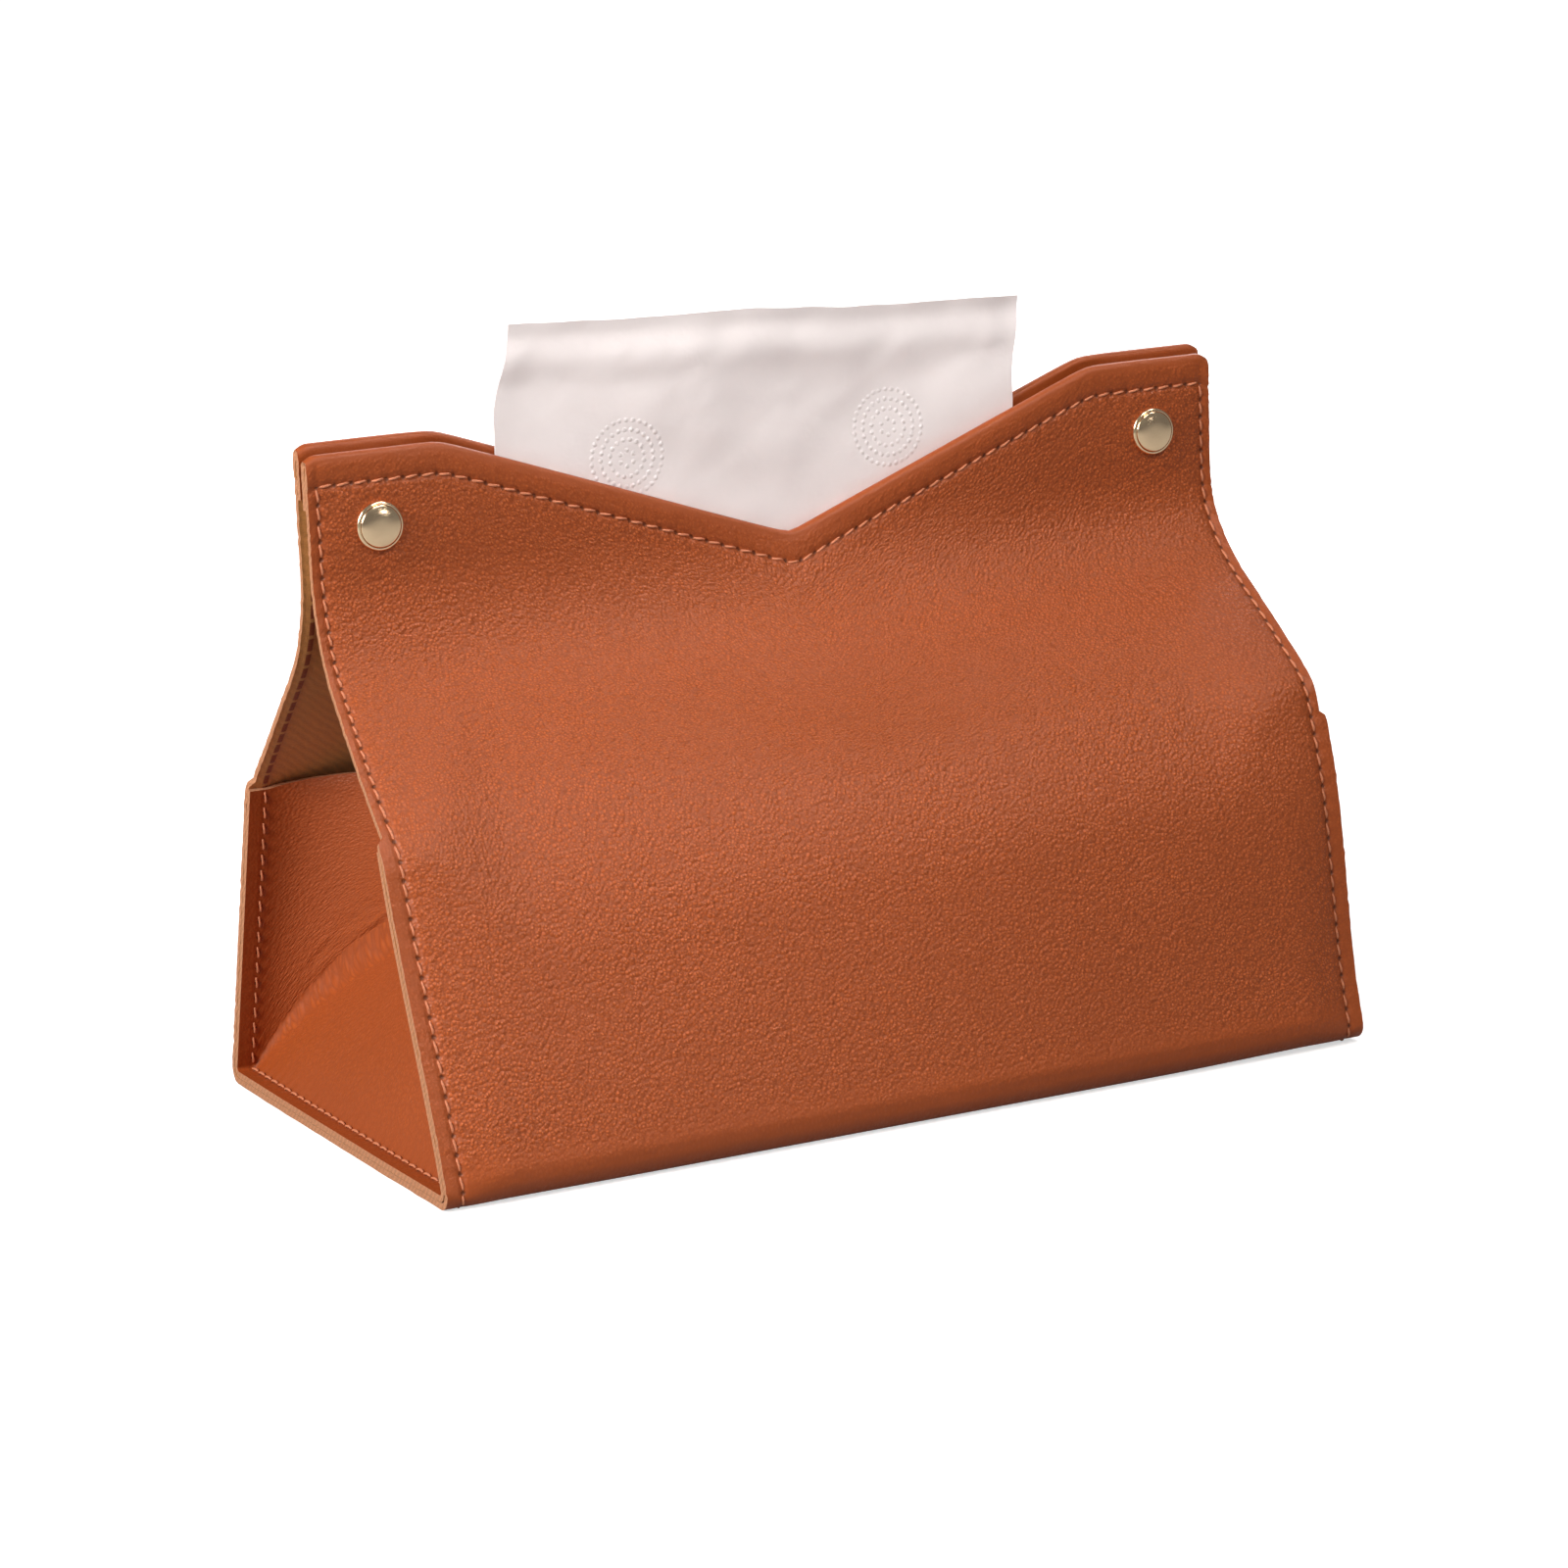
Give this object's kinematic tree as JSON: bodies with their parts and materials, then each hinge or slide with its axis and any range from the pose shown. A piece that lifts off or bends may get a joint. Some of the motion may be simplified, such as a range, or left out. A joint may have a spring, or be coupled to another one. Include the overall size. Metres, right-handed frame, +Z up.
{
  "type": "tissue box cover",
  "caption": "Leather tissue cover: a wrap with drawn-in end gussets, notched flaps that press together with studs over the mouth, and a soft pack of tissues inside.",
  "frame": {"origin": "middle of the cover's footprint, on the surface that it stands on", "axes": "+X along the cover's length, +Y from the front flap to the back flap, +Z up"},
  "size_m": [0.23, 0.124, 0.1773],
  "materials": {
    "leather": "fine-grained tan leather, semi-matt",
    "thread": "twisted salmon-tan sewing thread",
    "cap_metal": "polished pale gold plating",
    "fastener_metal": "satin pale gold plating",
    "tissue": "soft white tissue paper"
  },
  "bodies": {
    "root": {"wrap_panel": "leather", "left_gusset": "leather", "right_gusset": "leather", "left_seam_thread": "thread", "right_seam_thread": "thread", "left_bobbin_thread": "thread", "right_bobbin_thread": "thread", "tissue_pack": "tissue"},
    "front_flap": {"front_flap": "leather", "front_hem_thread": "thread", "left_snap_cap": "cap_metal", "right_snap_cap": "cap_metal", "left_snap_socket": "fastener_metal", "right_snap_socket": "fastener_metal", "left_snap_spring": "fastener_metal", "right_snap_spring": "fastener_metal"},
    "back_flap": {"back_flap": "leather", "back_hem_thread": "thread", "left_snap_stud": "fastener_metal", "right_snap_stud": "fastener_metal", "left_snap_rivet": "cap_metal", "right_snap_rivet": "cap_metal"},
    "drawn_tissue": {"drawn_tissue": "tissue"}
  },
  "joints": [
    {"name": "front_flap_fold", "type": "hinge", "parent": "root", "child": "front_flap", "pos_m": [0, -0.0415, 0.075], "axis": [1, 0, 0], "range_deg": [0, 75]},
    {"name": "back_flap_fold", "type": "hinge", "parent": "root", "child": "back_flap", "pos_m": [0, 0.0415, 0.075], "axis": [-1, 0, 0], "range_deg": [0, 75]},
    {"name": "tissue_draw", "type": "slide", "parent": "root", "child": "drawn_tissue", "axis": [0, 0, 1], "range_m": [0, 0.11]}
  ]
}
